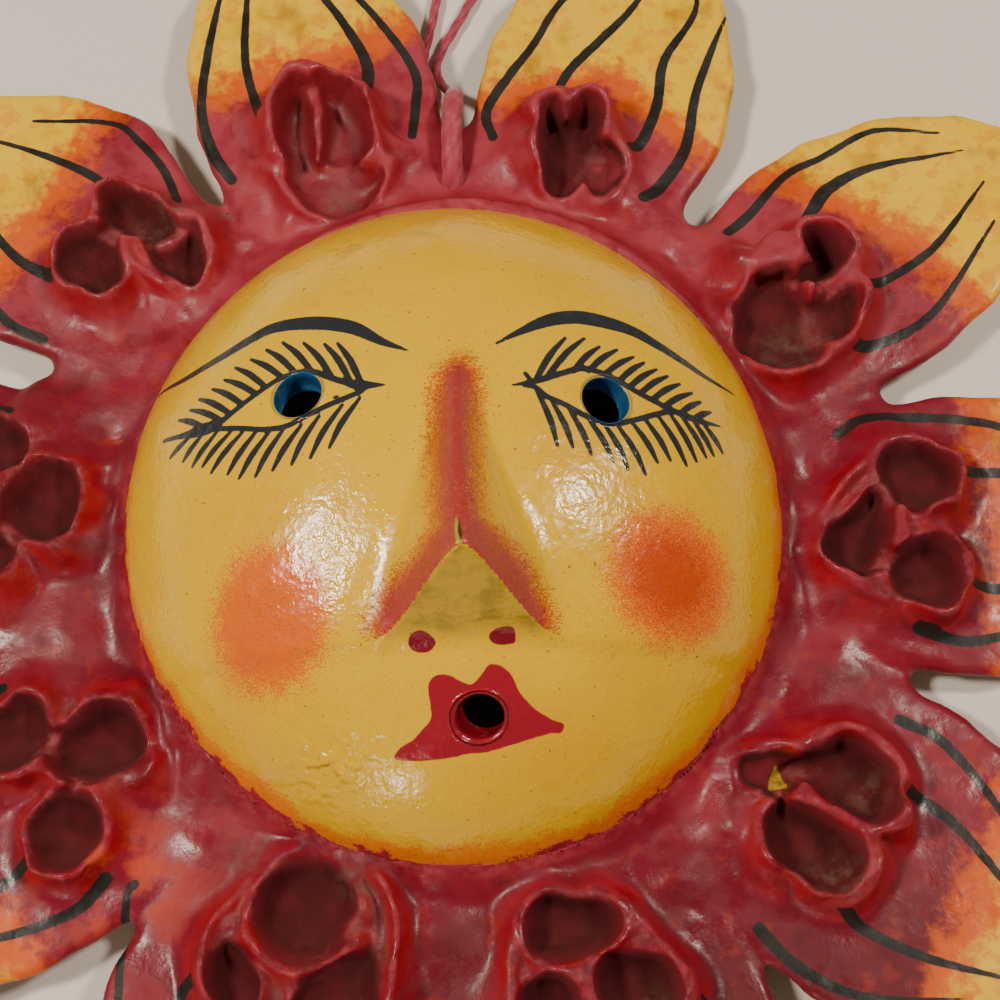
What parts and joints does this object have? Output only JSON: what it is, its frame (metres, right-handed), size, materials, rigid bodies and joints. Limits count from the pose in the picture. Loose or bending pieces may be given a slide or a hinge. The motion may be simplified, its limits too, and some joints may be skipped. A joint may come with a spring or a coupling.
{
  "type": "coconut shell sun mask",
  "caption": "Half a coconut shell carved and painted as a sun's face, in a modelled collar of broad rays with pinched flower cups, with a hanging cord",
  "frame": {"origin": "on the table under the middle of the shell and collar together, with the mask lying on its back", "axes": "+X to the viewer's right, +Y from the chin to the forehead, +Z out of the face"},
  "size_m": [0.2656, 0.2556, 0.0584],
  "materials": {
    "yellow_enamel": "glossy yellow enamel over coconut shell, with painted features",
    "crimson_enamel": "glossy crimson enamel over modelled paste, dabbed to orange and yellow on the rays",
    "pink_cord": "soft twisted cotton, faded"
  },
  "bodies": {
    "root": {"coconut_face": "yellow_enamel", "ray_collar": "crimson_enamel", "hanging_cord": "pink_cord", "cord_knot": "pink_cord"}
  },
  "joints": []
}
